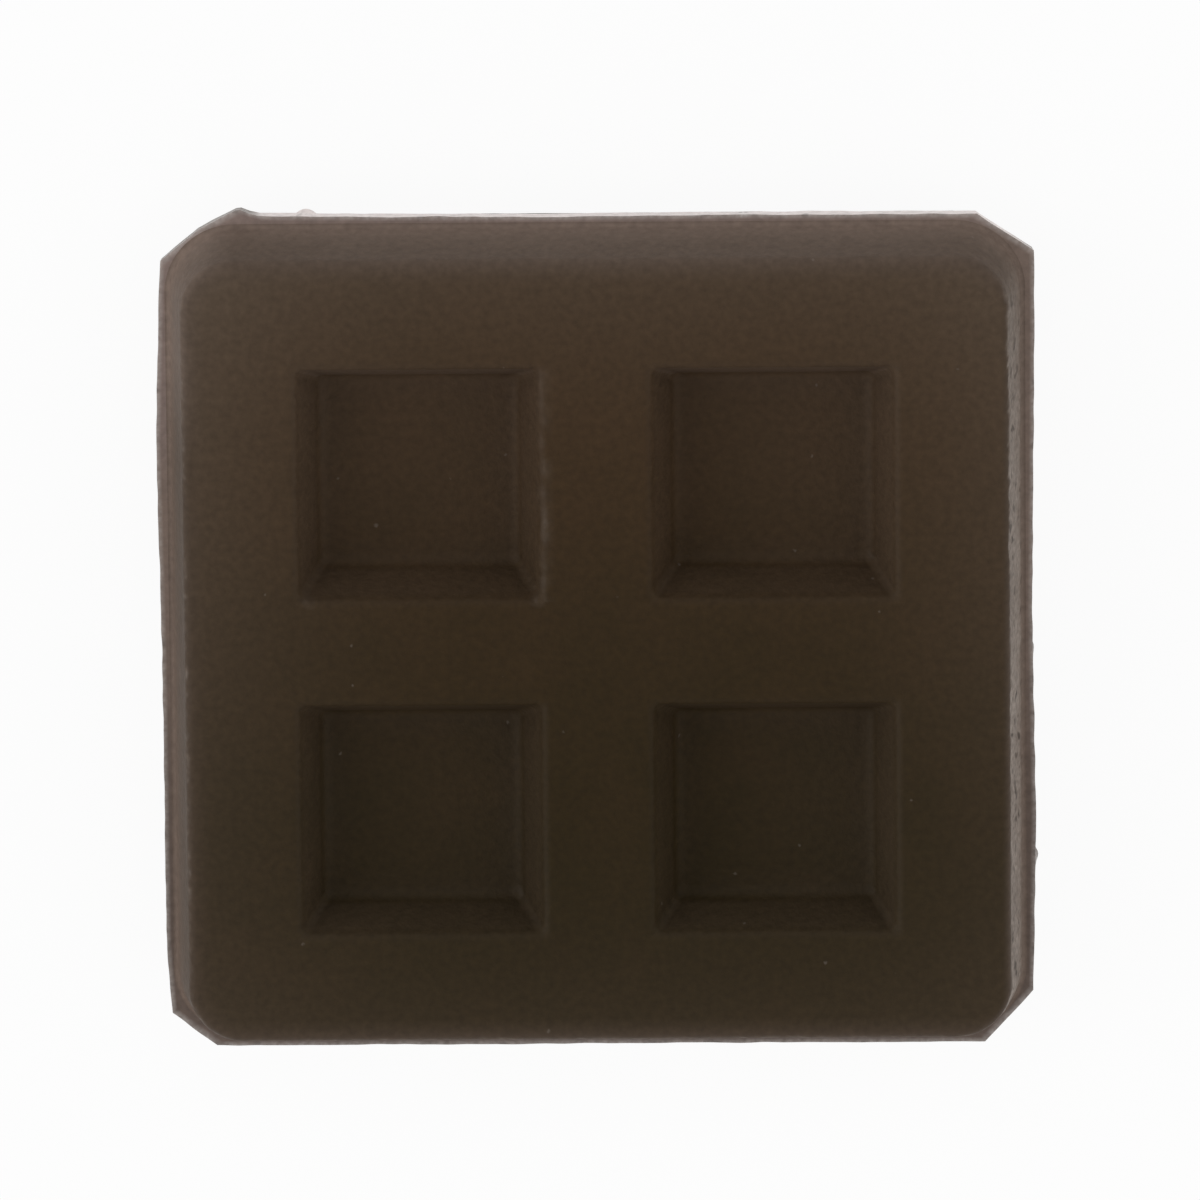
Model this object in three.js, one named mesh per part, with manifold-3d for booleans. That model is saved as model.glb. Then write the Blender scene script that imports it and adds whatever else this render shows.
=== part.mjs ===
// Anti-vibration pad in moulded rubber, 2 in square and 3/8 in thick. Two waffle blocks, each with four
// tapered pockets in its working face, are bonded back to back on a thin rubber web. The web was cut from
// a larger sheet by hand: its rim shows all round the blocks, and its corners are snipped off.
// Millimetres, +Z up. The pad lies flat, with the origin at the centre of its underside.
import * as THREE from "three";
import { mergeVertices } from "three/addons/utils/BufferGeometryUtils.js";
import Module from "manifold-3d";

// Driving dimensions of a waffle block
const BLOCK_SIDE = 50.8; // 2 in, where the block meets the web
const BLOCK_HEIGHT = 4.2875; // two blocks and the web make 3/8 in, 9.525 mm
const BLOCK_DRAFT = 0.82; // each outer wall leans in this far from the web to the working face
const FACE_CORNER_RADIUS = 3.2; // at the working face
const POCKET_BORDER = 6.65; // rubber between a pocket's mouth and the edge of the working face
const POCKET_RIB = 6.45; // rubber between the mouths of two pockets
const POCKET_DRAFT = 1.5; // each pocket wall leans in this far from mouth to floor
const POCKET_FLOOR = 1.0; // rubber left between a pocket's floor and the web
const POCKET_CORNER_RADIUS = 0.5; // of a pocket's upright corners

// Driving dimensions of the web
const WEB_THICKNESS = 0.95;
const WEB_RIM = 0.635; // the web shows this far past the blocks on each side
// The snip at each corner, in the order that the outline runs: which corner, how much it takes off along x
// and along y, and how far the cut bows outwards
const SNIPS = [
  { cornerX: 1, cornerY: 1, alongX: 3.6, alongY: 2.4, bow: 0 },
  { cornerX: -1, cornerY: 1, alongX: 4.7, alongY: 3.1, bow: 0.5 },
  { cornerX: -1, cornerY: -1, alongX: 2.9, alongY: 2.0, bow: 0 },
  { cornerX: 1, cornerY: -1, alongX: 3.1, alongY: 3.1, bow: 0 },
];

// Steps in which round stretches are drawn
const CORNER_STEPS = 6;
const BOW_STEPS = 4;

// Sizes that follow from them
const faceSide = BLOCK_SIDE - 2 * BLOCK_DRAFT;
const pocketMouth = (faceSide - 2 * POCKET_BORDER - POCKET_RIB) / 2;
const pocketPitch = pocketMouth + POCKET_RIB;
const pocketDepth = BLOCK_HEIGHT - POCKET_FLOOR;
const webSide = BLOCK_SIDE + 2 * WEB_RIM;
const webBottom = BLOCK_HEIGHT;
const webTop = webBottom + WEB_THICKNESS;

const wasm = await Module();
wasm.setup();

// Points round a square with round corners. Each corner has the same count of points whatever its radius.
function roundedSquare(side, radius) {
  const arcCentre = side / 2 - radius;
  const points = [];
  for (let corner = 0; corner < 4; corner++) {
    const start = (corner * Math.PI) / 2;
    const middle = start + Math.PI / 4;
    const centreX = arcCentre * Math.sign(Math.cos(middle));
    const centreY = arcCentre * Math.sign(Math.sin(middle));
    const arc = new THREE.EllipseCurve(centreX, centreY, radius, radius, start, start + Math.PI / 2);
    points.push(...arc.getPoints(CORNER_STEPS));
  }
  return points;
}

// A closed solid between a lower and an upper outline with as many points, both counter-clockwise.
function drafted(lower, lowerZ, upper, upperZ) {
  const count = lower.length;
  const positions = [];
  lower.forEach((point) => positions.push(point.x, point.y, lowerZ));
  upper.forEach((point) => positions.push(point.x, point.y, upperZ));
  const triangles = [];
  for (let i = 0; i < count; i++) {
    const next = (i + 1) % count;
    triangles.push(i, next, count + next);
    triangles.push(i, count + next, count + i);
  }
  THREE.ShapeUtils.triangulateShape(lower, []).forEach(([a, b, c]) => triangles.push(a, c, b));
  THREE.ShapeUtils.triangulateShape(upper, []).forEach(([a, b, c]) => {
    triangles.push(count + a, count + b, count + c);
  });
  const geometry = new THREE.BufferGeometry();
  geometry.setAttribute("position", new THREE.Float32BufferAttribute(positions, 3));
  geometry.setIndex(triangles);
  return geometry;
}

// A three.js geometry as a solid that can be cut.
function solidOf(geometry) {
  const merged = mergeVertices(geometry);
  const vertProperties = new Float32Array(merged.getAttribute("position").array);
  const triVerts = new Uint32Array(merged.index.array);
  return new wasm.Manifold(new wasm.Mesh({ numProp: 3, vertProperties, triVerts }));
}

// A cut solid back as a three.js geometry.
function geometryOf(solid) {
  const mesh = solid.getMesh();
  const geometry = new THREE.BufferGeometry();
  geometry.setAttribute("position", new THREE.Float32BufferAttribute(mesh.vertProperties, 3));
  geometry.setIndex(new THREE.Uint32BufferAttribute(mesh.triVerts, 1));
  geometry.computeVertexNormals();
  return geometry;
}

// The tool that cuts one pocket. It carries on at the same draft above the working face, so that the mouth
// is cut clean.
function pocketCutter(x, y) {
  const above = pocketDepth;
  const draftPerHeight = POCKET_DRAFT / pocketDepth;
  const upperSide = pocketMouth + 2 * draftPerHeight * above;
  const lowerSide = pocketMouth - 2 * POCKET_DRAFT;
  const upper = roundedSquare(upperSide, POCKET_CORNER_RADIUS);
  const lower = roundedSquare(lowerSide, POCKET_CORNER_RADIUS);
  const cutter = drafted(lower, POCKET_FLOOR, upper, BLOCK_HEIGHT + above);
  return cutter.translate(x, y, 0);
}

// One waffle block with its flat back at z = 0 and its working face up.
function waffleBlock() {
  const back = roundedSquare(BLOCK_SIDE, FACE_CORNER_RADIUS + BLOCK_DRAFT);
  const face = roundedSquare(faceSide, FACE_CORNER_RADIUS);
  let block = solidOf(drafted(back, 0, face, BLOCK_HEIGHT));
  for (const column of [-1, 1]) {
    for (const row of [-1, 1]) {
      const cutter = pocketCutter((column * pocketPitch) / 2, (row * pocketPitch) / 2);
      block = block.subtract(solidOf(cutter));
    }
  }
  return geometryOf(block);
}

// The web: a square sheet with its corners snipped, each by its own amount.
function webSheet() {
  const half = webSide / 2;
  const outline = new THREE.Shape();
  SNIPS.forEach(({ cornerX, cornerY, alongX, alongY, bow }, index) => {
    const onSide = new THREE.Vector2(cornerX * half, cornerY * (half - alongY));
    const onEnd = new THREE.Vector2(cornerX * (half - alongX), cornerY * half);
    // Going round, two opposite corners are reached along a side of the sheet, the other two along an end.
    const [from, to] = cornerX === cornerY ? [onSide, onEnd] : [onEnd, onSide];
    if (index === 0) outline.moveTo(from.x, from.y);
    else outline.lineTo(from.x, from.y);
    const outwards = new THREE.Vector2(cornerX * alongY, cornerY * alongX).normalize();
    const control = from.clone().add(to).multiplyScalar(0.5).addScaledVector(outwards, 2 * bow);
    if (bow > 0) outline.quadraticCurveTo(control.x, control.y, to.x, to.y);
    else outline.lineTo(to.x, to.y);
  });
  outline.closePath();
  const settings = { depth: WEB_THICKNESS, bevelEnabled: false, curveSegments: BOW_STEPS };
  return new THREE.ExtrudeGeometry(outline, settings);
}

// Matte brown-black rubber, a little browner on the blocks' moulded faces than on the web.
const blockRubber = new THREE.MeshStandardMaterial({ color: 0x3a3027, roughness: 0.75, metalness: 0 });
const webRubber = new THREE.MeshStandardMaterial({ color: 0x473c33, roughness: 0.8, metalness: 0 });

function part(name, geometry, material) {
  const mesh = new THREE.Mesh(geometry, material);
  mesh.name = name;
  return mesh;
}

const pad = new THREE.Group();

// The lower block lies on its working face, with its back up against the web.
const lowerBlock = part("lower_waffle_block", waffleBlock().rotateX(Math.PI), blockRubber);
lowerBlock.position.z = webBottom;
pad.add(lowerBlock);

const web = part("centre_web", webSheet(), webRubber);
web.position.z = webBottom;
pad.add(web);

// The upper block stands on the web with its working face up.
const upperBlock = part("upper_waffle_block", waffleBlock(), blockRubber);
upperBlock.position.z = webTop;
pad.add(upperBlock);

export default pad;
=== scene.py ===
# Anti-vibration pad in brown-black rubber: two moulded waffle blocks, back to back on a thin trimmed web.
# Metres, +Z up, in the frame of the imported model. The pad lies flat, with pockets in both working faces.
import math

import bmesh
import bpy
from mathutils import Matrix, Vector, noise


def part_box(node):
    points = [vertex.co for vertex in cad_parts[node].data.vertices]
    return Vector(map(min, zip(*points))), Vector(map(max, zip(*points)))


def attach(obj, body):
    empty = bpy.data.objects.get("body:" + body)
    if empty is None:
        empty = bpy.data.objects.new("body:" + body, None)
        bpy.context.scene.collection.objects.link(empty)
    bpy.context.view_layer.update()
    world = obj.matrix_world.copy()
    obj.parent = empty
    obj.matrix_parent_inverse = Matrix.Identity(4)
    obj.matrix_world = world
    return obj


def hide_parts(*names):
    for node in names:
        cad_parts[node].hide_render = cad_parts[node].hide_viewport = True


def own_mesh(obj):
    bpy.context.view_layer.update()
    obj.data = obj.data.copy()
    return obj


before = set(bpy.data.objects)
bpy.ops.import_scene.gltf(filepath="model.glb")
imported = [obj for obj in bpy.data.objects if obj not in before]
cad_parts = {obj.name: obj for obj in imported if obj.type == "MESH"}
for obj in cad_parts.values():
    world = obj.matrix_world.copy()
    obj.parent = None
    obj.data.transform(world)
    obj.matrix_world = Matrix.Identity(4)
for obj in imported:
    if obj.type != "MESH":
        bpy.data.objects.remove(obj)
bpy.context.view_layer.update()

# Lower waffle block
# A square block of nitrile rubber, compression moulded in one piece: drafted outer walls, and four tapered
# pockets in its working face. It lies on that face, and its flat back is bonded to the web above it.
MM = 0.001
lower_low, lower_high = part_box("lower_waffle_block")
BLOCK_SIDE = lower_high.x - lower_low.x
BLOCK_HEIGHT = lower_high.z - lower_low.z
OUTER_DRAFT = 0.82 * MM  # each outer wall leans in this far from the back to the face
FACE_CORNER = 3.2 * MM  # corner radius of the working face
EDGE_ROUND = 0.55 * MM  # where the face turns down into the outer walls
FOOT_ROUND = 0.3 * MM  # where the outer walls flare out at the back
POCKET_BORDER = 6.65 * MM  # from a pocket's mouth to the edge of the face
POCKET_RIB = 6.45 * MM  # between two mouths
POCKET_DRAFT = 1.5 * MM  # each pocket wall leans in this far from mouth to floor
POCKET_FLOOR = 1.0 * MM  # rubber left under a pocket
POCKET_CORNER = 0.5 * MM
RIM_ROUND = 0.6 * MM  # where the face turns down into a pocket
FLOOR_ROUND = 0.8 * MM  # where a pocket's walls run out into its floor

face_half = BLOCK_SIDE / 2 - OUTER_DRAFT
mouth_half = (2 * face_half - 2 * POCKET_BORDER - POCKET_RIB) / 4
floor_half = mouth_half - POCKET_DRAFT
pocket_centre = POCKET_RIB / 2 + mouth_half
outer_turn = math.atan2(BLOCK_HEIGHT, OUTER_DRAFT)
pocket_turn = math.atan2(BLOCK_HEIGHT - POCKET_FLOOR, POCKET_DRAFT)
edge_tangent = EDGE_ROUND * math.tan(outer_turn / 2)
level_half = floor_half - FLOOR_ROUND * math.tan(pocket_turn / 2)  # half of the level floor

SIDE_STEPS = 56
CORNER_STEPS = 32
ROUND_STEPS = 6
WALL_STEPS = 14
MERGE_DISTANCE = 0.002 * MM
FACE_SHARES = (0.03, 0.08, 0.16, 0.35, 0.6, 0.85, 0.97)  # rings between the edge of the face and a rim
FLOOR_SHARES = (0.97, 0.75, 0.5, 0.25)  # rings between the edge of a level floor and its middle
QUARTER_TURNS = [Matrix.Rotation(quarter * math.pi / 2, 2) for quarter in range(4)]


def round_over(radius, turn):
    """Points over a round edge from a level face to a wall that falls away: how far in, how far down."""
    tangent = radius * math.tan(turn / 2)
    angles = [turn * step / ROUND_STEPS for step in range(ROUND_STEPS + 1)]
    return [(tangent - radius * math.sin(angle), radius * (1 - math.cos(angle))) for angle in angles]


def between(start, end, steps):
    """Pairs evenly spaced between two pairs, without the two."""
    shares = [step / steps for step in range(1, steps)]
    return [(start[0] + (end[0] - start[0]) * s, start[1] + (end[1] - start[1]) * s) for s in shares]


def straight_side(side, straight):
    """Points along a straight side that faces +X."""
    return [Vector((side, straight * (2 * step / SIDE_STEPS - 1))) for step in range(SIDE_STEPS)]


def corner_path(side, following, straight, radius):
    """The way round one corner, from (side, straight) to (straight, following)."""
    arc_steps = CORNER_STEPS // 2 if radius else 0
    leg_steps = (CORNER_STEPS - arc_steps) // 2
    rise = following - radius - straight
    run = side - radius - straight
    path = [Vector((side, straight + rise * step / leg_steps)) for step in range(leg_steps)]
    for step in range(arc_steps):
        angle = step / arc_steps * math.pi / 2
        arc = Vector((math.cos(angle), math.sin(angle))) * radius
        path.append(Vector((side - radius, following - radius)) + arc)
    path += [Vector((side - radius - run * step / leg_steps, following)) for step in range(leg_steps)]
    return path


def quarter_edge(straight):
    """The edge of one quarter of the working face, about its pocket's centre, counter-clockwise."""
    outer = face_half - edge_tangent - pocket_centre
    reaches = (outer, outer, pocket_centre, pocket_centre)
    radii = (FACE_CORNER - edge_tangent, 0, 0, 0)
    points = []
    for i, turn in enumerate(QUARTER_TURNS):
        side = reaches[i]
        following = reaches[(i + 1) % 4]
        path = straight_side(side, straight) + corner_path(side, following, straight, radii[i])
        points += [turn @ point for point in path]
    return points


def pocket_ring(half):
    """A ring of a pocket about its centre, counter-clockwise: a square with round corners."""
    straight = half - POCKET_CORNER
    path = straight_side(half, straight)
    for step in range(CORNER_STEPS):
        angle = step / CORNER_STEPS * math.pi / 2
        arc = Vector((math.cos(angle), math.sin(angle))) * POCKET_CORNER
        path.append(Vector((straight, straight)) + arc)
    return [turn @ point for turn in QUARTER_TURNS for point in path]


def quarter_rings():
    """The rings of one quarter of the working face, from its edge into its pocket, with their heights."""
    rim = [(mouth_half + i, BLOCK_HEIGHT - d) for i, d in round_over(RIM_ROUND, pocket_turn)]
    foot = [(floor_half - i, POCKET_FLOOR + d) for i, d in reversed(round_over(FLOOR_ROUND, pocket_turn))]
    edge = quarter_edge(rim[0][0] - POCKET_CORNER)
    mouth = pocket_ring(rim[0][0])
    rings = [(edge, BLOCK_HEIGHT)]
    for share in FACE_SHARES:
        rings.append(([a.lerp(b, share) for a, b in zip(edge, mouth)], BLOCK_HEIGHT))
    profile = rim + between(rim[-1], foot[0], WALL_STEPS) + foot
    profile += [(foot[-1][0] * share, POCKET_FLOOR) for share in FLOOR_SHARES]
    return rings + [(pocket_ring(half), height) for half, height in profile]


def face_outline(edge):
    """The edge of the whole working face, counter-clockwise: points, and the directions out of it."""
    leg_steps = CORNER_STEPS // 2
    count = 2 * (leg_steps + SIDE_STEPS) + CORNER_STEPS
    middle = Vector((pocket_centre, pocket_centre))
    arc_centre = Vector((1, 1)) * (face_half - FACE_CORNER)
    outline = []
    for point in (edge[-leg_steps:] + edge)[:count]:
        place = point + middle
        outwards = place - arc_centre
        if place.y < arc_centre.y:
            outwards = Vector((1, 0))
        if place.x < arc_centre.x:
            outwards = Vector((0, 1))
        outline.append((place, outwards.normalized()))
    return [(turn @ place, turn @ outwards) for turn in QUARTER_TURNS for place, outwards in outline]


def outer_profile():
    """The outer wall from the edge of the face down to the back: how far out of that edge, and how high."""
    edge = [(edge_tangent - i, BLOCK_HEIGHT - d) for i, d in round_over(EDGE_ROUND, outer_turn)]
    foot = [(edge_tangent + OUTER_DRAFT + i, d) for i, d in reversed(round_over(FOOT_ROUND, outer_turn))]
    return edge + between(edge[-1], foot[0], WALL_STEPS) + foot


def join_rings(mesh, rings, slot):
    """Quads between closed rings of vertices that have as many points."""
    for near, far in zip(rings, rings[1:]):
        for i in range(len(near)):
            j = (i + 1) % len(near)
            face = mesh.faces.new((near[i], near[j], far[j], far[i]))
            face.material_index = slot


FLOOR_PAINTED_LIGHT = 0.024  # painted light: how much of the colour is pale in the middle of a pocket's floor, offsetting the pocket's shade
FLOOR_EDGE_PAINTED_LIGHT = 0.02  # painted light: how much more that is round the edge of the level floor, where shade would gather
FLOOR_EDGE_REACH = 1.2 * MM
FLOOR_SLANT = 0.018  # painted light: how much more it is at the +X edge, which the lamp lights, and how much less at the -X edge
ROW_PAINTED_LIGHT = 0.006  # painted light: how much more it is in the +Y row of pockets, and how much less in the -Y row
WALL_PAINTED_LIGHT = {
    1: {"+X": 0.092, "-X": 0.066, "+Y": 0.17, "-Y": 0.086},
    -1: {"+X": 0.08, "-X": 0.05, "+Y": 0.06, "-Y": 0.074},
}  # painted light: how much of the colour is pale on a pocket's walls, by the way they face, in the +Y row and in the -Y row
WALL_START = 0.25  # where its walls are fully paled by painted light, as a share of a pocket's depth
FLOOR_START = 0.77  # where the painted light on its walls starts to run into that on its floor, as such a share
FLOOR_RUN = 0.09
RIM_HIGHLIGHT = {"+X": 0.025, "-X": 0.0, "+Y": 0.0, "-Y": 0.025}  # painted highlight: how much of the colour is pale along its rims
RIM_HIGHLIGHT_REACH = 0.4 * MM


def pocket_side(point):
    """The side of its pocket on which a point lies."""
    if abs(point.x) > abs(point.y):
        return "+X" if point.x > 0 else "-X"
    return "+Y" if point.y > 0 else "-Y"


def pocket_painted_light(point, height, row):
    """How much of the colour is painted light at a point of a pocket in the +Y row, 1, or the -Y row, -1:
    paler walls and floor where shade falls, and painted highlights along two rims.
    """
    depth = (BLOCK_HEIGHT - height) / (BLOCK_HEIGHT - POCKET_FLOOR)
    side = pocket_side(point)
    from_centre = max(abs(point.x), abs(point.y))
    # painted highlight along the +X and -Y rims
    rim_highlight = RIM_HIGHLIGHT[side] * max(0, 1 - abs(from_centre - mouth_half) / RIM_HIGHLIGHT_REACH)
    floor_light = FLOOR_PAINTED_LIGHT + FLOOR_SLANT * point.x / floor_half + ROW_PAINTED_LIGHT * row
    floor_light += FLOOR_EDGE_PAINTED_LIGHT * max(0, 1 - abs(from_centre - level_half) / FLOOR_EDGE_REACH)
    wall_light = WALL_PAINTED_LIGHT[row][side]
    on_floor = min(1, max(0, (depth - FLOOR_START) / FLOOR_RUN))
    return rim_highlight + (wall_light + (floor_light - wall_light) * on_floor) * min(1, depth / WALL_START)


def add_working_face(mesh, quarter):
    """The face and its four pockets. Each quarter is the mirror image of the ones beside it."""
    painted_light = mesh.verts.layers.float["painted_light"]
    for sign_x, sign_y in ((1, 1), (-1, 1), (-1, -1), (1, -1)):
        rings = []
        for points, height in quarter:
            ring = []
            for point in points:
                turned = Vector((sign_x * point.x, sign_y * point.y))
                x = turned.x + sign_x * pocket_centre
                y = turned.y + sign_y * pocket_centre
                vertex = mesh.verts.new((x, y, height))
                # painted light in the pockets, kept on the vertices
                vertex[painted_light] = pocket_painted_light(turned, height, sign_y)
                ring.append(vertex)
            rings.append(ring)
        join_rings(mesh, rings, 0)
        mesh.faces.new(rings[-1])


TEAR_DEPTH = 0.1 * MM  # how far the torn side's outer wall is rough
TEAR_LENGTH = 0.9 * MM
LEAST_TORN = 0.15  # how rough the other sides are, as a share of that
RUBBED_SHARE = 0.85  # how much of the colour of the torn side is pale, rubbed rubber
RUB_FALLOFF = 3  # how quickly the rubbing ends round the corners, as a power
RUB_START = 0.65  # how far below the face the rubbed strip starts, as a share of EDGE_ROUND
RUB_SLANT = 0.9  # how much further down it starts at its -Y end than at its +Y end, as such a share
RUB_STRAY = 0.3  # how far its start wanders, as such a share
RUB_STEEPNESS = 5  # how sharply it starts
FOOT_STEEPNESS = 6  # how sharply it ends at the foot of the wall
RUB_END = 33 * MM  # the y where the rubbing would run out
RUB_RUNOUT = 20 * MM
PATCHINESS = 0.35  # how much the rubbing varies from patch to patch
PATCH_LENGTH = 2.5 * MM
WEAR_LENGTH = 0.5 * MM  # how far apart the turns of a worn edge lie
FOOT_PAINTED_LIGHT = 0.75  # painted light: how much of the colour is pale where the outer walls meet the web, offsetting the shade in that corner
FOOT_FALLOFF = 3  # how quickly that ends up the wall, as a power


def rubbing(outwards, torn_side):
    """How much a wall that faces outwards is rubbed, from 0 to 1."""
    return max(0, outwards.dot(torn_side)) ** RUB_FALLOFF


def add_outer_wall(mesh, edge, origin, torn_side):
    """The outer wall, rough and rubbed most on the torn side, and the flat back."""
    painted_light = mesh.verts.layers.float["painted_light"]
    scuffs_and_highlight = mesh.verts.layers.float["scuffs_and_highlight"]
    outline = face_outline(edge)
    rings = []
    for offset, height in outer_profile():
        below_edge = (BLOCK_HEIGHT - height) / EDGE_ROUND
        above_foot = FOOT_STEEPNESS * height / BLOCK_HEIGHT
        ring = []
        for place, outwards in outline:
            spot = Vector((*(place + outwards * offset), height))
            rubbed = rubbing(outwards, torn_side)
            start = RUB_START - RUB_SLANT * spot.y / BLOCK_SIDE
            start += RUB_STRAY * noise.noise(spot / WEAR_LENGTH - origin)
            on_wall = min(1, max(0, RUB_STEEPNESS * (below_edge - start)), above_foot)
            rough = noise.noise(spot / TEAR_LENGTH + origin)
            torn = rough * (LEAST_TORN + (1 - LEAST_TORN) * rubbed) * on_wall
            vertex = mesh.verts.new(spot - Vector((*outwards, 0)) * torn * TEAR_DEPTH)
            patch = 1 + PATCHINESS * noise.noise(spot / PATCH_LENGTH - origin)
            runout = min(1, (RUB_END - spot.y) / RUB_RUNOUT)
            vertex[scuffs_and_highlight] = RUBBED_SHARE * rubbed * on_wall * patch * runout
            # painted light at the foot of the wall, where shade would fall
            vertex[painted_light] = FOOT_PAINTED_LIGHT * (1 - height / BLOCK_HEIGHT) ** FOOT_FALLOFF
            ring.append(vertex)
        rings.append(ring)
    join_rings(mesh, rings, 0)
    mesh.faces.new(rings[-1])


FLANK_FADE = 1.6 * MM  # how far the outer walls' painted sheen runs in over the face
RUBBED_FADE = 0.4 * MM  # the same on the torn side
FLANK_FALLOFF = 2  # how quickly it fades, as a power
BACK_PAINTED_LIGHT = 0.24  # painted light: how much more of the colour is pale on the +Y outer wall
FRONT_PAINTED_LIGHT = 0.1  # the same on the -Y outer wall
CORNER_PAINTED_LIGHT = 0.35  # the same at the +Y end of the -X outer wall
CORNER_START = 12 * MM  # the y where that end starts
CORNER_RUN = 6 * MM
EDGE_WEAR = 0.5  # how much of the colour is rubbed along the edge of the face
WEAR_REACH = 0.18 * MM
EDGE_STRAY = 0.15 * MM  # how far the worn edge wanders
WAVE_HEIGHT = 0.02 * MM  # the slow unevenness of a moulded surface
WAVE_LENGTH = 2.6 * MM
NOISE_SEED = 5  # the unevenness comes out the same in every run
noise.seed_set(NOISE_SEED)


def face_edge(place):
    """How far inside the edge of the face a place lies, at most the corner radius, and the way out."""
    reach = face_half - FACE_CORNER
    past = Vector((max(0, abs(place.x) - reach), max(0, abs(place.y) - reach)))
    outwards = Vector((math.copysign(past.x, place.x), math.copysign(past.y, place.y)))
    return FACE_CORNER - past.length, outwards.normalized()


def weather(mesh, origin, torn_side):
    """Marks the outer walls for their painted sheen and painted light, and the worn edge of the face, and
    makes the block a bit uneven.
    """
    flank_sheen = mesh.verts.layers.float["flank_sheen"]
    painted_light = mesh.verts.layers.float["painted_light"]
    scuffs_and_highlight = mesh.verts.layers.float["scuffs_and_highlight"]
    for vertex in mesh.verts:
        inside, outwards = face_edge(vertex.co)
        rubbed = rubbing(outwards, torn_side)
        fade = FLANK_FADE + (RUBBED_FADE - FLANK_FADE) * rubbed
        # painted sheen on the outer walls, running in over the face edge
        vertex[flank_sheen] = max(0, 1 - max(0, inside) / fade) ** FLANK_FALLOFF
        # painted light on the +Y and -Y outer walls and at the +Y end of the -X one
        side_light = BACK_PAINTED_LIGHT if outwards.y > 0 else FRONT_PAINTED_LIGHT
        corner_light = CORNER_PAINTED_LIGHT * min(1, max(0, (vertex.co.y - CORNER_START) / CORNER_RUN))
        vertex[painted_light] += (side_light * abs(outwards.y) + corner_light * max(0, -outwards.x)) * vertex[flank_sheen]
        from_edge = abs(inside + EDGE_STRAY * noise.noise(vertex.co / WEAR_LENGTH - origin))
        pale_mark = max(0, 1 - from_edge / WEAR_REACH) * max(0, noise.noise(vertex.co / WEAR_LENGTH + origin))
        vertex[scuffs_and_highlight] = max(vertex[scuffs_and_highlight], EDGE_WEAR * pale_mark * (1 - rubbed) * (1 - max(0, outwards.y)))
        wave = noise.noise_vector(vertex.co / WAVE_LENGTH + origin) * WAVE_HEIGHT
        vertex.co += wave * min(1, vertex.co.z / EDGE_ROUND)


def waffle_block(seed, torn_side):
    """A waffle block with its back at z = 0 and its face up, torn on the side to which torn_side points."""
    mesh = bmesh.new()
    for name in ("flank_sheen", "painted_light", "scuffs_and_highlight"):
        mesh.verts.layers.float.new(name)
    origin = Vector((seed, seed, seed))
    quarter = quarter_rings()
    add_working_face(mesh, quarter)
    add_outer_wall(mesh, quarter[0][0], origin, torn_side)
    bmesh.ops.remove_doubles(mesh, verts=mesh.verts, dist=MERGE_DISTANCE)
    bmesh.ops.recalc_face_normals(mesh, faces=mesh.faces)
    weather(mesh, origin, torn_side)
    return mesh


SHARP_TURN = math.radians(60)  # an edge that turns by more than this stays crisp


def finished_piece(name, mesh, place, materials):
    """The mesh as a smooth object at its place, with its materials."""
    for edge in mesh.edges:
        edge.smooth = edge.calc_face_angle(0) < SHARP_TURN
    data = bpy.data.meshes.new(name)
    mesh.to_mesh(data)
    mesh.free()
    data.transform(place)
    data.shade_smooth()
    for material in materials:
        data.materials.append(material)
    piece = bpy.data.objects.new(name, data)
    bpy.context.scene.collection.objects.link(piece)
    return piece


def colour(code):
    """An sRGB hex colour as linear red, green, blue and alpha."""
    levels = [int(code[i : i + 2], 16) / 255 for i in (1, 3, 5)]
    return [v / 12.92 if v <= 0.04045 else ((v + 0.055) / 1.055) ** 2.4 for v in levels] + [1.0]


def named(sockets, name):
    """The socket of that identifier or name."""
    return next(s for s in sockets if name in (s.identifier, s.name))


def add_node(tree, kind, output, links, **settings):
    """Adds a shader node and gives its output; each link is a value or an output for one of its inputs."""
    node = tree.nodes.new(kind)
    for name, value in settings.items():
        setattr(node, name, value)
    for name, value in links.items():
        socket = named(node.inputs, name)
        if isinstance(value, bpy.types.NodeSocket):
            tree.links.new(value, socket)
        else:
            socket.default_value = value
    return named(node.outputs, output)


def new_material(name):
    """An empty node material, its tree and the inputs of its shader."""
    material = bpy.data.materials.new(name)
    material.use_nodes = True
    tree = material.node_tree
    return material, tree, tree.nodes["Principled BSDF"].inputs


CRUMB_SIZE = 0.35 * MM
CRUMB_LOW = 0.3  # levels of the noise between which a scuffed place goes from least to most crumbled
CRUMB_HIGH = 0.7
LEAST_CRUMBLED = 0.5
MOST_CRUMBLED = 1.2
PIT_SPACING = 1.0 * MM
PIT_LOW = 0.6  # levels of the noise between which a scuffed place turns into a pit
PIT_HIGH = 0.68
PIT_COLOUR = colour("#2a1f14")


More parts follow.
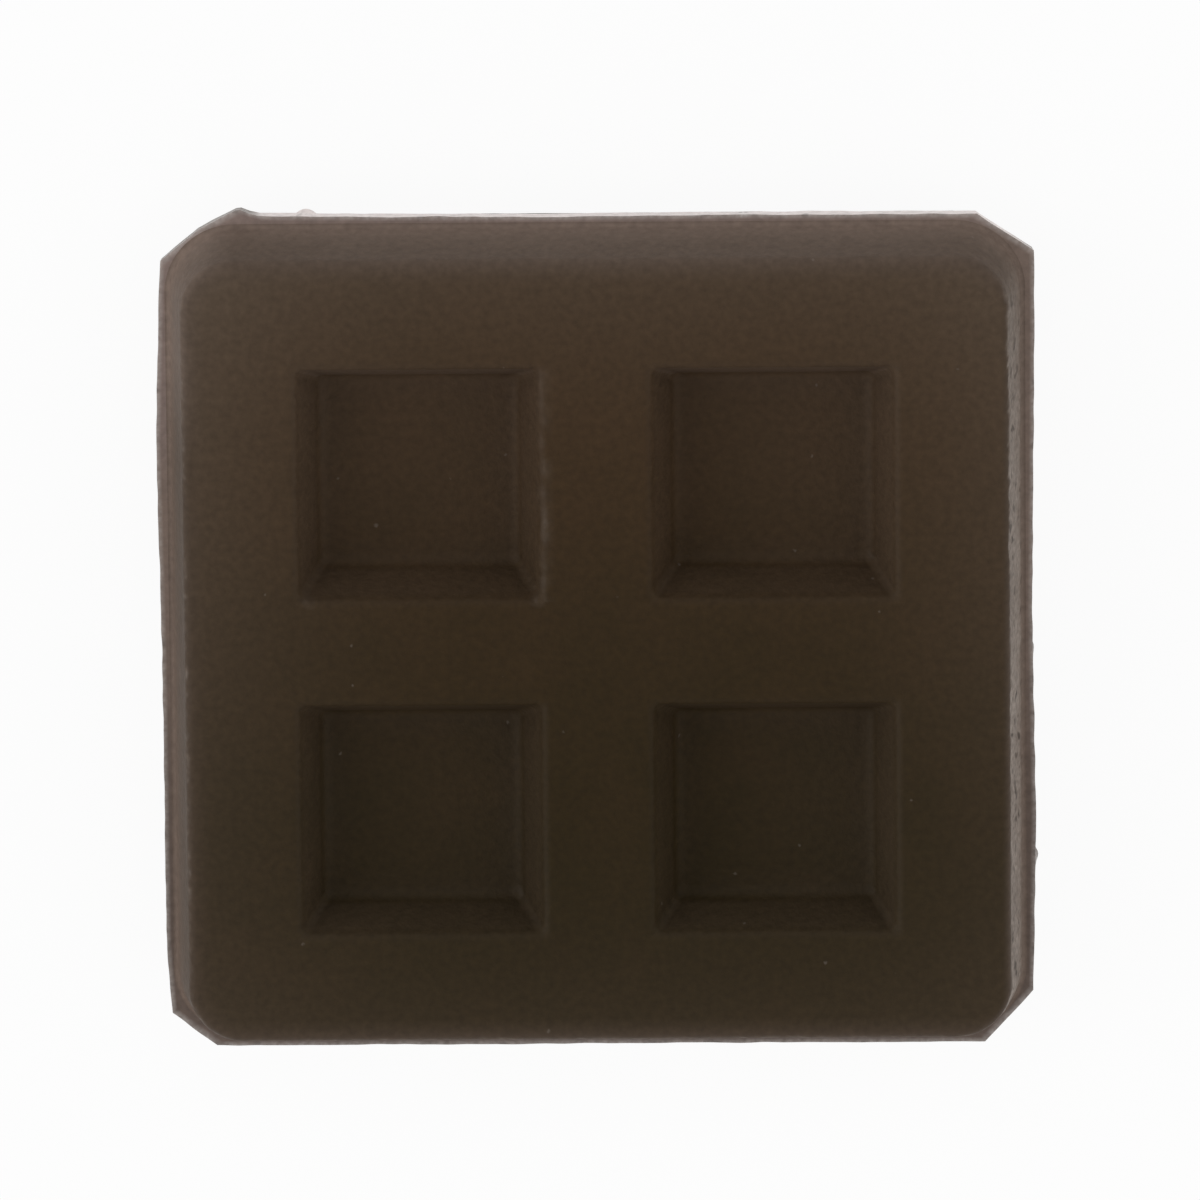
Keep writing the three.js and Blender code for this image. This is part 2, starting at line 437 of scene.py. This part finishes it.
def scuffed_and_highlighted(tree, place, plain, pale_mark):
    """A plain colour with pale crumbs and a few dark pits where the mesh is scuffed, and pale where it
    carries a painted highlight.
    """
    scuffs_and_highlight = add_node(tree, "ShaderNodeAttribute", "Fac", {}, attribute_name="scuffs_and_highlight")
    crumbs = add_node(
        tree, "ShaderNodeTexNoise", "Fac", {"Vector": place, "Scale": 1 / CRUMB_SIZE, "Detail": 2.0}
    )
    crumbling = add_node(
        tree,
        "ShaderNodeMapRange",
        "Result",
        {
            "Value": crumbs,
            "From Min": CRUMB_LOW,
            "From Max": CRUMB_HIGH,
            "To Min": LEAST_CRUMBLED,
            "To Max": MOST_CRUMBLED,
        },
    )
    pale_share = add_node(
        tree, "ShaderNodeMath", "Value", {"Value": scuffs_and_highlight, "Value_001": crumbling}, operation="MULTIPLY"
    )
    pale = add_node(
        tree,
        "ShaderNodeMix",
        "Result_Color",
        {"Factor_Float": pale_share, "A_Color": plain, "B_Color": pale_mark},
        data_type="RGBA",
    )
    pits = add_node(
        tree, "ShaderNodeTexNoise", "Fac", {"Vector": place, "Scale": 1 / PIT_SPACING, "Detail": 2.0}
    )
    pitting = add_node(
        tree, "ShaderNodeMapRange", "Result", {"Value": pits, "From Min": PIT_LOW, "From Max": PIT_HIGH}
    )
    pit_share = add_node(
        tree, "ShaderNodeMath", "Value", {"Value": scuffs_and_highlight, "Value_001": pitting}, operation="MULTIPLY"
    )
    return add_node(
        tree,
        "ShaderNodeMix",
        "Result_Color",
        {"Factor_Float": pit_share, "A_Color": pale, "B_Color": PIT_COLOUR},
        data_type="RGBA",
    )


LINT_SPACING = 2.8 * MM
LINT_CURL = 0.3 * MM  # how far a speck of lint is bent out of round
LINT_CORE = 0.02  # how far the full speck reaches, as a share of LINT_SPACING
LINT_EDGE = 0.045  # where it ends, as such a share
LINT_SHARE = 0.16  # how much of the colour it covers
LINT_COLOUR = colour("#9a9088")


def linted(tree, place, plain):
    """A plain colour with a little curled lint."""
    curl = add_node(tree, "ShaderNodeTexNoise", "Color", {"Vector": place, "Scale": 1 / LINT_CURL})
    bent = add_node(
        tree,
        "ShaderNodeVectorMath",
        "Vector",
        {"Vector": curl, "Vector_001": (LINT_CURL,) * 3, "Vector_002": place},
        operation="MULTIPLY_ADD",
    )
    lint = add_node(tree, "ShaderNodeTexVoronoi", "Distance", {"Vector": bent, "Scale": 1 / LINT_SPACING})
    share = add_node(
        tree,
        "ShaderNodeMapRange",
        "Result",
        {
            "Value": lint,
            "From Min": LINT_CORE,
            "From Max": LINT_EDGE,
            "To Min": LINT_SHARE,
            "To Max": 0.0,
        },
    )
    return add_node(
        tree,
        "ShaderNodeMix",
        "Result_Color",
        {"Factor_Float": share, "A_Color": plain, "B_Color": LINT_COLOUR},
        data_type="RGBA",
    )


FLECK_SIZE = 0.45 * MM  # the real flecks of filler are too fine to show, so they are drawn coarser
FLECK_LOW = 0.2  # levels of the noise between which a fleck goes from darkest to palest
FLECK_HIGH = 0.8
FLECK_DARK = 0.82
FLECK_PALE = 1.18


def flecked(tree, place, plain):
    """A plain colour broken up by fine flecks, some darker and some paler."""
    flecks = add_node(
        tree, "ShaderNodeTexNoise", "Fac", {"Vector": place, "Scale": 1 / FLECK_SIZE, "Detail": 3.0}
    )
    shade = add_node(
        tree,
        "ShaderNodeMapRange",
        "Result",
        {
            "Value": flecks,
            "From Min": FLECK_LOW,
            "From Max": FLECK_HIGH,
            "To Min": FLECK_DARK,
            "To Max": FLECK_PALE,
        },
    )
    return add_node(
        tree, "ShaderNodeVectorMath", "Vector", {"Vector": plain, "Scale": shade}, operation="SCALE"
    )


CLOUD_SIZE = 6 * MM  # the slow drift of colour and gloss over a rubber face
GLOSS_DRIFT = 0.08  # how much rougher or smoother it gets
GRAIN_SIZE = 0.4 * MM  # the real grain is too fine to show, so it is drawn coarser
RUBBER_IOR = 1.5


def rubber(name, body, pale_mark, grain_height, roughness, specular):
    """A dull rubber whose plain colour body makes. Fine flecks and grain break it up, a little lint lies on
    it, and it is pale and pitted where the mesh is scuffed or carries a painted highlight."""
    material, tree, shader = new_material(name)
    place = add_node(tree, "ShaderNodeTexCoord", "Object", {})
    used = scuffed_and_highlighted(tree, place, body(tree, place), colour(pale_mark))
    tree.links.new(flecked(tree, place, linted(tree, place, used)), shader["Base Color"])
    clouds = add_node(
        tree, "ShaderNodeTexNoise", "Fac", {"Vector": place, "Scale": 1 / CLOUD_SIZE, "Detail": 3.0}
    )
    gloss = add_node(
        tree,
        "ShaderNodeMapRange",
        "Result",
        {"Value": clouds, "To Min": roughness - GLOSS_DRIFT, "To Max": roughness + GLOSS_DRIFT},
    )
    tree.links.new(gloss, shader["Roughness"])
    grain = add_node(
        tree, "ShaderNodeTexNoise", "Fac", {"Vector": place, "Scale": 1 / GRAIN_SIZE, "Detail": 4.0}
    )
    relief = add_node(
        tree, "ShaderNodeBump", "Normal", {"Strength": 1.0, "Distance": grain_height, "Height": grain}
    )
    tree.links.new(relief, shader["Normal"])
    shader["IOR"].default_value = RUBBER_IOR
    shader["Specular IOR Level"].default_value = specular
    return material


def along(tree, place, axis, start, end):
    """How far a place lies along an axis, from 0 at start to 1 at end."""
    distance = add_node(tree, "ShaderNodeSeparateXYZ", axis, {"Vector": place})
    return add_node(
        tree,
        "ShaderNodeMapRange",
        "Result",
        {"Value": distance, "From Min": start, "From Max": end},
        interpolation_type="SMOOTHSTEP",
    )


EDGE_LIGHT_MIDDLE = 1.2 * MM  # how far the place with the least painted light lies towards +X
EDGE_LIGHT_REACH = 28 * MM  # where the painted light is full
LEAST_EDGE_LIGHT = 0.4  # how much of the painted light is left on the pad's -Y side


def painted_edge_light(tree, place, backwards):
    """How much of the colour is painted light: more away from the middle of the pad, and more towards +Y.
    """
    level = add_node(
        tree,
        "ShaderNodeVectorMath",
        "Vector",
        {"Vector": place, "Vector_001": (1, 1, 0), "Vector_002": (-EDGE_LIGHT_MIDDLE, 0, 0)},
        operation="MULTIPLY_ADD",
    )
    squared = add_node(
        tree, "ShaderNodeVectorMath", "Vector", {"Vector": level, "Vector_001": level}, operation="MULTIPLY"
    )
    fourth_power = add_node(
        tree,
        "ShaderNodeVectorMath",
        "Value",
        {"Vector": squared, "Vector_001": squared},
        operation="DOT_PRODUCT",
    )
    outwards = add_node(
        tree, "ShaderNodeMapRange", "Result", {"Value": fourth_power, "From Max": EDGE_LIGHT_REACH**4}
    )
    side_share = add_node(
        tree, "ShaderNodeMapRange", "Result", {"Value": backwards, "To Min": LEAST_EDGE_LIGHT, "To Max": 1.0}
    )
    return add_node(
        tree, "ShaderNodeMath", "Value", {"Value": outwards, "Value_001": side_share}, operation="MULTIPLY"
    )


PAINTED_LIGHT_Y = (-18 * MM, 22 * MM)  # painted light: from where to where the rubber gets browner and paler
CLOUD_SHARE = 0.6  # how much its slow drift of colour counts beside that
BROWN_LOW = 0.3  # levels of the two together between which it goes from darkest to brownest
BROWN_HIGH = 1.3
DARK_COLOUR = colour("#2a200b")
BROWN_COLOUR = colour("#3f2e1c")
EDGE_LIGHT_COLOUR = colour("#57493c")
FLANK_SHEEN_COLOUR = colour("#4a3d32")
PAINTED_LIGHT_COLOUR = colour("#7a6a60")


def moulded_body(tree, place):
    """Brown-black rubber with its own slow drift of colour. Painted light makes it browner towards +Y and
    paler away from the middle, a painted sheen pales its outer walls, and painted light pales the pockets
    and the wall feet."""
    # painted light towards +Y, mixed with the rubber's own slow drift of colour
    backwards = along(tree, place, "Y", *PAINTED_LIGHT_Y)
    clouds = add_node(
        tree, "ShaderNodeTexNoise", "Fac", {"Vector": place, "Scale": 1 / CLOUD_SIZE, "Detail": 3.0}
    )
    clouded = add_node(
        tree,
        "ShaderNodeMath",
        "Value",
        {"Value": clouds, "Value_001": CLOUD_SHARE, "Value_002": backwards},
        operation="MULTIPLY_ADD",
    )
    brown_share = add_node(
        tree,
        "ShaderNodeMapRange",
        "Result",
        {"Value": clouded, "From Min": BROWN_LOW, "From Max": BROWN_HIGH},
    )
    brown = add_node(
        tree,
        "ShaderNodeMix",
        "Result_Color",
        {"Factor_Float": brown_share, "A_Color": DARK_COLOUR, "B_Color": BROWN_COLOUR},
        data_type="RGBA",
    )
    edge_lit = add_node(
        tree,
        "ShaderNodeMix",
        "Result_Color",
        {"Factor_Float": painted_edge_light(tree, place, backwards), "A_Color": brown, "B_Color": EDGE_LIGHT_COLOUR},
        data_type="RGBA",
    )
    # painted sheen on the outer walls
    flank_sheen = add_node(tree, "ShaderNodeAttribute", "Fac", {}, attribute_name="flank_sheen")
    sheened = add_node(
        tree,
        "ShaderNodeMix",
        "Result_Color",
        {"Factor_Float": flank_sheen, "A_Color": edge_lit, "B_Color": FLANK_SHEEN_COLOUR},
        data_type="RGBA",
    )
    # painted light in the pockets, at the foot of the outer walls and on their +Y and -Y sides
    painted_light = add_node(tree, "ShaderNodeAttribute", "Fac", {}, attribute_name="painted_light")
    return add_node(
        tree,
        "ShaderNodeMix",
        "Result_Color",
        {"Factor_Float": painted_light, "A_Color": sheened, "B_Color": PAINTED_LIGHT_COLOUR},
        data_type="RGBA",
    )


# Nitrile rubber from a grit-blasted mould: nearly black, dull and finely grained.
moulded_rubber = rubber(
    "nitrile_rubber_moulded",
    moulded_body,
    pale_mark="#93887f",
    grain_height=0.07 * MM,
    roughness=0.62,
    specular=0.13,
)

LOWER_SEED = 3.7  # each block has its own unevenness
NOT_TORN = Vector((0, 0))
lower_place = Matrix.Translation((0, 0, lower_high.z)) @ Matrix.Rotation(math.pi, 4, "X")
lower_block = finished_piece(
    "lower_waffle_block_rubber", waffle_block(LOWER_SEED, NOT_TORN), lower_place, (moulded_rubber,)
)
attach(lower_block, "root")
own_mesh(lower_block)
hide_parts("lower_waffle_block")

# Web
# A thin calendered rubber sheet between the two blocks, bonded to both. It was cut out of a larger sheet
# with a knife: its rim shows all round, uneven, and its corners are snipped off, each in its own way.
web_low, web_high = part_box("centre_web")
KNIFE_PATH = (
    (26.05, -23.1),
    (26.22, -12.0),
    (26.02, 0.5),
    (26.2, 19.0),
    (26.18, 23.7),
    (22.8, 26.0),
    (9.0, 26.05),
    (-3.0, 25.99),
    (-14.0, 26.06),
    (-20.0, 26.14),
    (-20.6, 26.3),
    (-21.1, 26.5),
    (-21.4, 26.46),
    (-23.7, 25.24),
    (-25.88, 23.36),
    (-25.98, 21.5),
    (-26.28, 12.0),
    (-26.1, -1.0),
    (-26.07, -20.0),
    (-25.78, -24.22),
    (-23.1, -26.32),
    (0.0, -26.33),
    (23.13, -26.36),
)  # corners and bends of the cut, in millimetres
CUT_STEP = 0.2 * MM  # spacing of points along the cut
CUT_STRAY = 0.05 * MM  # how far the knife wandered
CUT_STRAY_LENGTH = 1.4 * MM
CUT_LEAN = 0.1 * MM  # how far the knife leaned in under the sheet
CRUMBS = (
    ((26.0, -1.6), (0.2, 0)),
    ((26.1, -14.8), (0.3, 0)),
    ((-17.2, 26.2), (0, 0.28)),
)  # where a crumb of rubber is left at the foot of the cut, and how far it sticks out, in millimetres
CRUMB_REACH = 0.6 * MM
CUT_RIM_HIGHLIGHT = 0.38  # painted highlight: how much of the colour along the top of the cut is pale
RIM_REACH = 0.3 * MM
CHIP = (8.9, 26.0)  # a pale chip in the cut, in millimetres
CHIP_REACH = 0.5 * MM
CUT_ROWS = 6
HIDDEN_SHARE = 0.93  # the sheet's hidden middle, as a share of its size


def knife_points():
    """Points along the cut, close together."""
    corners = [Vector(corner) * MM for corner in KNIFE_PATH]
    points = []
    for start, end in zip(corners, corners[1:] + corners[:1]):
        steps = max(1, round((end - start).length / CUT_STEP))
        points += [start.lerp(end, step / steps) for step in range(steps)]
    return points


def face_ring(mesh, path, share, height):
    """A ring of the web's upper or lower face: the cut's path, drawn in to a share of its size."""
    return [mesh.verts.new((*(point * share), height)) for point in path]


def web_sheet():
    """The web's mesh: its two faces and its cut edge."""
    mesh = bmesh.new()
    scuffs_and_highlight = mesh.verts.layers.float.new("scuffs_and_highlight")
    path = knife_points()
    shares = (HIDDEN_SHARE, 1 - RIM_REACH / web_high.x)
    rings = [face_ring(mesh, path, share, web_high.z) for share in shares]
    for row in range(CUT_ROWS + 1):
        height = web_high.z + (web_low.z - web_high.z) * row / CUT_ROWS
        lean = CUT_LEAN * row / CUT_ROWS
        ring = []
        for point in path:
            place = Vector((*(point * (1 - lean / web_high.x)), height))
            place += noise.noise_vector(place / CUT_STRAY_LENGTH) * CUT_STRAY
            for crumb, size in CRUMBS:
                away = (point - Vector(crumb) * MM).length / CRUMB_REACH
                place += Vector((*size, 0)) * MM * max(0, 1 - away**2) * row / CUT_ROWS
            vertex = mesh.verts.new((place.x, place.y, height))
            chipped = 1 - (point - Vector(CHIP) * MM).length / CHIP_REACH
            # painted highlight along the top of the cut, beside a real pale chip
            vertex[scuffs_and_highlight] = max(CUT_RIM_HIGHLIGHT * (1 - row / CUT_ROWS), chipped)
            ring.append(vertex)
        rings.append(ring)
    rings += [face_ring(mesh, path, share, web_low.z) for share in reversed(shares)]
    join_rings(mesh, rings[:3], 0)
    join_rings(mesh, rings[2:-2], 1)
    join_rings(mesh, rings[-3:], 0)
    mesh.faces.new(rings[0])
    mesh.faces.new(rings[-1])
    bmesh.ops.recalc_face_normals(mesh, faces=mesh.faces)
    return mesh


PALER_Y = (-16 * MM, 6 * MM)  # painted light: from where to where the sheet gets paler
SHEET_LIGHT_Y = (24.6 * MM, 26.2 * MM)  # painted light: from where to where it gets paler still
LIT_CORNER_X = (-22 * MM, -24 * MM)  # the same for its corner, on both axes
LIT_CORNER_Y = (8 * MM, 14 * MM)
SHEET_COLOUR = colour("#6b5d55")
PALE_SHEET_COLOUR = colour("#85746a")
LIT_SHEET_COLOUR = colour("#8e7d76")


def sheet_body(tree, place):
    """Brown rubber with painted light: paler towards the pad's +Y side, and paler still along it and round
    its -X corner.
    """
    corner = add_node(
        tree,
        "ShaderNodeMath",
        "Value",
        {
            "Value": along(tree, place, "X", *LIT_CORNER_X),
            "Value_001": along(tree, place, "Y", *LIT_CORNER_Y),
        },
        operation="MULTIPLY",
    )
    # painted light along the +Y edge and round the -X corner
    painted_light = add_node(
        tree,
        "ShaderNodeMath",
        "Value",
        {"Value": along(tree, place, "Y", *SHEET_LIGHT_Y), "Value_001": corner},
        operation="MAXIMUM",
    )
    brown = add_node(
        tree,
        "ShaderNodeMix",
        "Result_Color",
        {
            "Factor_Float": along(tree, place, "Y", *PALER_Y),
            "A_Color": SHEET_COLOUR,
            "B_Color": PALE_SHEET_COLOUR,
        },
        data_type="RGBA",
    )
    return add_node(
        tree,
        "ShaderNodeMix",
        "Result_Color",
        {"Factor_Float": painted_light, "A_Color": brown, "B_Color": LIT_SHEET_COLOUR},
        data_type="RGBA",
    )


CUT_HIGHLIGHT_Y = (23 * MM, 25 * MM)  # painted highlight: from where to where the cut gets pale, on both axes
CUT_HIGHLIGHT_X = (-20.6 * MM, -19.6 * MM)
CUT_COLOUR = colour("#6a5e55")
CUT_HIGHLIGHT_COLOUR = colour("#ece1de")


def cut_body(tree, place):
    """Cut rubber, with a pale painted highlight on the pad's +Y side but for that side's -X end."""
    cut_highlight = add_node(
        tree,
        "ShaderNodeMath",
        "Value",
        {
            "Value": along(tree, place, "Y", *CUT_HIGHLIGHT_Y),
            "Value_001": along(tree, place, "X", *CUT_HIGHLIGHT_X),
        },
        operation="MULTIPLY",
    )
    return add_node(
        tree,
        "ShaderNodeMix",
        "Result_Color",
        {"Factor_Float": cut_highlight, "A_Color": CUT_COLOUR, "B_Color": CUT_HIGHLIGHT_COLOUR},
        data_type="RGBA",
    )


# Calendered rubber sheet: smoother than the moulded blocks, with a slight sheen.
sheet_rubber = rubber(
    "calendered_rubber_sheet",
    sheet_body,
    pale_mark="#e8e2de",
    grain_height=0.02 * MM,
    roughness=0.6,
    specular=0.2,
)
# Knife-cut rubber: smooth and a little glossy where the blade drew along it. Its +Y side carries a painted
# highlight.
cut_rubber = rubber(
    "knife_cut_rubber",
    cut_body,
    pale_mark="#e8e2de",
    grain_height=0.04 * MM,
    roughness=0.42,
    specular=0.4,
)
web = finished_piece("centre_web_sheet", web_sheet(), Matrix.Identity(4), (sheet_rubber, cut_rubber))
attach(web, "web")
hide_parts("centre_web")

# Upper waffle block
# A second block from the same mould as the lower one, bonded by its back to the web, with its pockets up.
# One outer wall is torn and rubbed, and one pocket's rim tore a little as the block left the mould.
upper_low, upper_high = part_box("upper_waffle_block")
UPPER_SEED = 11.3
TORN_SIDE = Vector((0.95, -0.31))  # the way the torn outer wall faces
RAGGED_SHIFT = 0.15 * MM
RAGGED_RIM_X = -POCKET_RIB / 2 + RAGGED_SHIFT  # beside the +X rim of the -X pocket in the +Y row
RAGGED_REACH = 0.5 * MM
RAGGED_LENGTH = 0.8 * MM
RAGGED_SHARE = 0.14  # how much of the colour is pale, torn rubber there
RAGGED_LEVEL = 0.5  # how ragged it is on the whole, beside how much that varies
RAGGED_HEIGHT = 0.12 * MM  # how far wholly torn rubber would stand up
NUBS = ((-17.2, 3.2), (-3.5, 3.2), (-4.9, -16.2), (16.5, 5.0))  # torn crumbs of rubber, in millimetres
NUB_REACH = 0.45 * MM
NUB_SHARE = 0.2
NUB_LEVEL = 0.6


def scuff(place):
    """How scuffed the upper block is at a place, from 0 to 1."""
    amount = 0
    if POCKET_RIB / 2 < place.y < POCKET_RIB / 2 + 2 * mouth_half:
        close = max(0, 1 - abs(place.x - RAGGED_RIM_X) / RAGGED_REACH)
        amount = RAGGED_SHARE * close * max(0, RAGGED_LEVEL + noise.noise(place / RAGGED_LENGTH))
    for nub in NUBS:
        distance = (place.xy - Vector(nub) * MM).length
        broken = max(0, NUB_LEVEL + noise.noise(place / NUB_REACH))
        amount = max(amount, NUB_SHARE * broken * (1 - distance / NUB_REACH))
    return amount


upper_mesh = waffle_block(UPPER_SEED, TORN_SIDE)
scuffs_and_highlight = upper_mesh.verts.layers.float["scuffs_and_highlight"]
for vertex in upper_mesh.verts:
    torn = scuff(vertex.co)
    vertex[scuffs_and_highlight] = max(vertex[scuffs_and_highlight], torn)
    vertex.co.z += torn * RAGGED_HEIGHT
upper_block = finished_piece(
    "upper_waffle_block_rubber", upper_mesh, Matrix.Translation((0, 0, upper_low.z)), (moulded_rubber,)
)
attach(upper_block, "upper")
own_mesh(upper_block)
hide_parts("upper_waffle_block")

# Floor
# A sheet of matt white card under the pad. It is white to the camera and in reflections, and it keeps the
# pad's shadow.
FLOOR_HALF = 1.5
FLOOR_GLOW = 0.93  # share of the card's white that doesn't depend on the light
FIBRE_SIZE = 4 * MM  # the real fibres are too fine to show, so they are drawn coarser
CARD_ROUGHNESS = 0.9
WHITE = colour("#ffffff")
floor_mesh = bmesh.new()
bmesh.ops.create_grid(floor_mesh, x_segments=1, y_segments=1, size=FLOOR_HALF)
# Matt white card: nearly plain, with no sheen.
card, card_tree, card_shader = new_material("matt_white_card")
card_place = add_node(card_tree, "ShaderNodeTexCoord", "Object", {})
fibres = add_node(card_tree, "ShaderNodeTexNoise", "Fac", {"Vector": card_place, "Scale": 1 / FIBRE_SIZE})
card_white = add_node(
    card_tree,
    "ShaderNodeMix",
    "Result_Color",
    {"Factor_Float": fibres, "A_Color": colour("#f5f5f5"), "B_Color": colour("#fafafa")},
    data_type="RGBA",
)
card_tree.links.new(card_white, card_shader["Base Color"])
card_shader["Roughness"].default_value = CARD_ROUGHNESS
card_shader["Specular IOR Level"].default_value = 0.0
rays = add_node(card_tree, "ShaderNodeLightPath", "Is Camera Ray", {}).node.outputs
seen_or_reflected = add_node(
    card_tree,
    "ShaderNodeMath",
    "Value",
    {"Value": rays["Is Camera Ray"], "Value_001": rays["Is Glossy Ray"]},
    operation="MAXIMUM",
)
seen = add_node(
    card_tree,
    "ShaderNodeMath",
    "Value",
    {"Value": seen_or_reflected, "Value_001": rays["Is Transmission Ray"]},
    operation="MAXIMUM",
)
glow_share = add_node(
    card_tree, "ShaderNodeMath", "Value", {"Value": seen, "Value_001": FLOOR_GLOW}, operation="MULTIPLY"
)
glow = add_node(card_tree, "ShaderNodeEmission", "Emission", {"Color": WHITE, "Strength": 1.0})
card_output = card_tree.nodes["Material Output"].inputs["Surface"]
matt = card_output.links[0].from_socket
card_surface = add_node(
    card_tree, "ShaderNodeMixShader", "Shader", {"Fac": glow_share, "Shader": matt, "Shader_001": glow}
)
card_tree.links.new(card_surface, card_output)
floor = finished_piece("floor", floor_mesh, Matrix.Identity(4), (card,))

# Light
# Plain soft studio light: a dim ceiling, paler walls, white screens on the left and right, and a broad lamp
# on the left.
WALL_LIGHT = 0.75
CEILING_LIGHT = 0.55
CEILING_START = 0.2  # how far up a direction points where the ceiling starts, from 0 to 1
CEILING_FULL = 0.9
SCREEN_LIGHT = 0.5
SCREEN_START = 0.4  # how far sideways a direction points where a screen starts, from 0 to 1
SCREEN_FULL = 0.9
LAMP_PLACE = Vector((-0.65, 0.05, 0.45))
LAMP_SIDE = 0.5
LAMP_WATTS = 0.9
world = bpy.data.worlds.new("studio_surround")
world.use_nodes = True
world_tree = world.node_tree
direction = add_node(world_tree, "ShaderNodeTexCoord", "Generated", {})
facing = add_node(world_tree, "ShaderNodeSeparateXYZ", "X", {"Vector": direction}).node.outputs
surround = add_node(
    world_tree,
    "ShaderNodeMapRange",
    "Result",
    {
        "Value": facing["Z"],
        "From Min": CEILING_START,
        "From Max": CEILING_FULL,
        "To Min": WALL_LIGHT,
        "To Max": CEILING_LIGHT,
    },
    interpolation_type="SMOOTHSTEP",
)
to_side = add_node(world_tree, "ShaderNodeMath", "Value", {"Value": facing["X"]}, operation="ABSOLUTE")
screens = add_node(
    world_tree,
    "ShaderNodeMapRange",
    "Result",
    {"Value": to_side, "From Min": SCREEN_START, "From Max": SCREEN_FULL, "To Max": SCREEN_LIGHT},
    interpolation_type="SMOOTHSTEP",
)
brightness = add_node(
    world_tree, "ShaderNodeMath", "Value", {"Value": surround, "Value_001": screens}, operation="ADD"
)
world_tree.nodes["Background"].inputs["Color"].default_value = WHITE
world_tree.links.new(brightness, world_tree.nodes["Background"].inputs["Strength"])
bpy.context.scene.world = world
lamp_data = bpy.data.lights.new("soft_lamp", "AREA")
lamp_data.energy = LAMP_WATTS
lamp_data.size = LAMP_SIDE
lamp = bpy.data.objects.new("soft_lamp", lamp_data)
lamp.location = LAMP_PLACE
lamp.rotation_euler = LAMP_PLACE.to_track_quat("Z", "Y").to_euler()
bpy.context.scene.collection.objects.link(lamp)

# Camera
# It looks down on the face from the +Y side, a little turned, from so far away that edges stay nearly
# parallel. Its aim follows from where the middle of the web shows in the picture.
CAMERA_TILT = math.radians(18.77)  # from straight above towards +Y
CAMERA_YAW = math.radians(0.42)  # towards +X
CAMERA_ROLL = math.radians(0.49)
CAMERA_DISTANCE = 1.5
PICTURE_PIXELS = 1200
PIXELS_PER_MM = 16.70  # at the web's upper face
WEB_CENTRE_PIXEL = Vector((597.6, 629.5))  # where the middle of the web's upper face shows
SENSOR_MM = 36.0
sideways = Vector((math.cos(CAMERA_YAW), 0, -math.sin(CAMERA_YAW)))
towards_camera = Vector(
    (
        math.sin(CAMERA_YAW) * math.cos(CAMERA_TILT),
        math.sin(CAMERA_TILT),
        math.cos(CAMERA_YAW) * math.cos(CAMERA_TILT),
    )
)
upwards = towards_camera.cross(sideways)
picture_right = sideways * math.cos(CAMERA_ROLL) - upwards * math.sin(CAMERA_ROLL)
picture_up = sideways * math.sin(CAMERA_ROLL) + upwards * math.cos(CAMERA_ROLL)
off_middle = (WEB_CENTRE_PIXEL - Vector((1, 1)) * PICTURE_PIXELS / 2) / PIXELS_PER_MM * MM
aim = Vector((0, 0, web_high.z)) - picture_right * off_middle.x + picture_up * off_middle.y
camera_data = bpy.data.cameras.new("camera")
camera_data.sensor_fit = "HORIZONTAL"
camera_data.sensor_width = SENSOR_MM
camera_data.lens = SENSOR_MM * PIXELS_PER_MM * CAMERA_DISTANCE / MM / PICTURE_PIXELS
camera = bpy.data.objects.new("camera", camera_data)
turned = Matrix((picture_right, picture_up, towards_camera)).transposed().to_4x4()
camera.matrix_world = Matrix.Translation(aim + towards_camera * CAMERA_DISTANCE) @ turned
bpy.context.scene.collection.objects.link(camera)
bpy.context.scene.camera = camera
bpy.context.scene.view_settings.view_transform = "Standard"
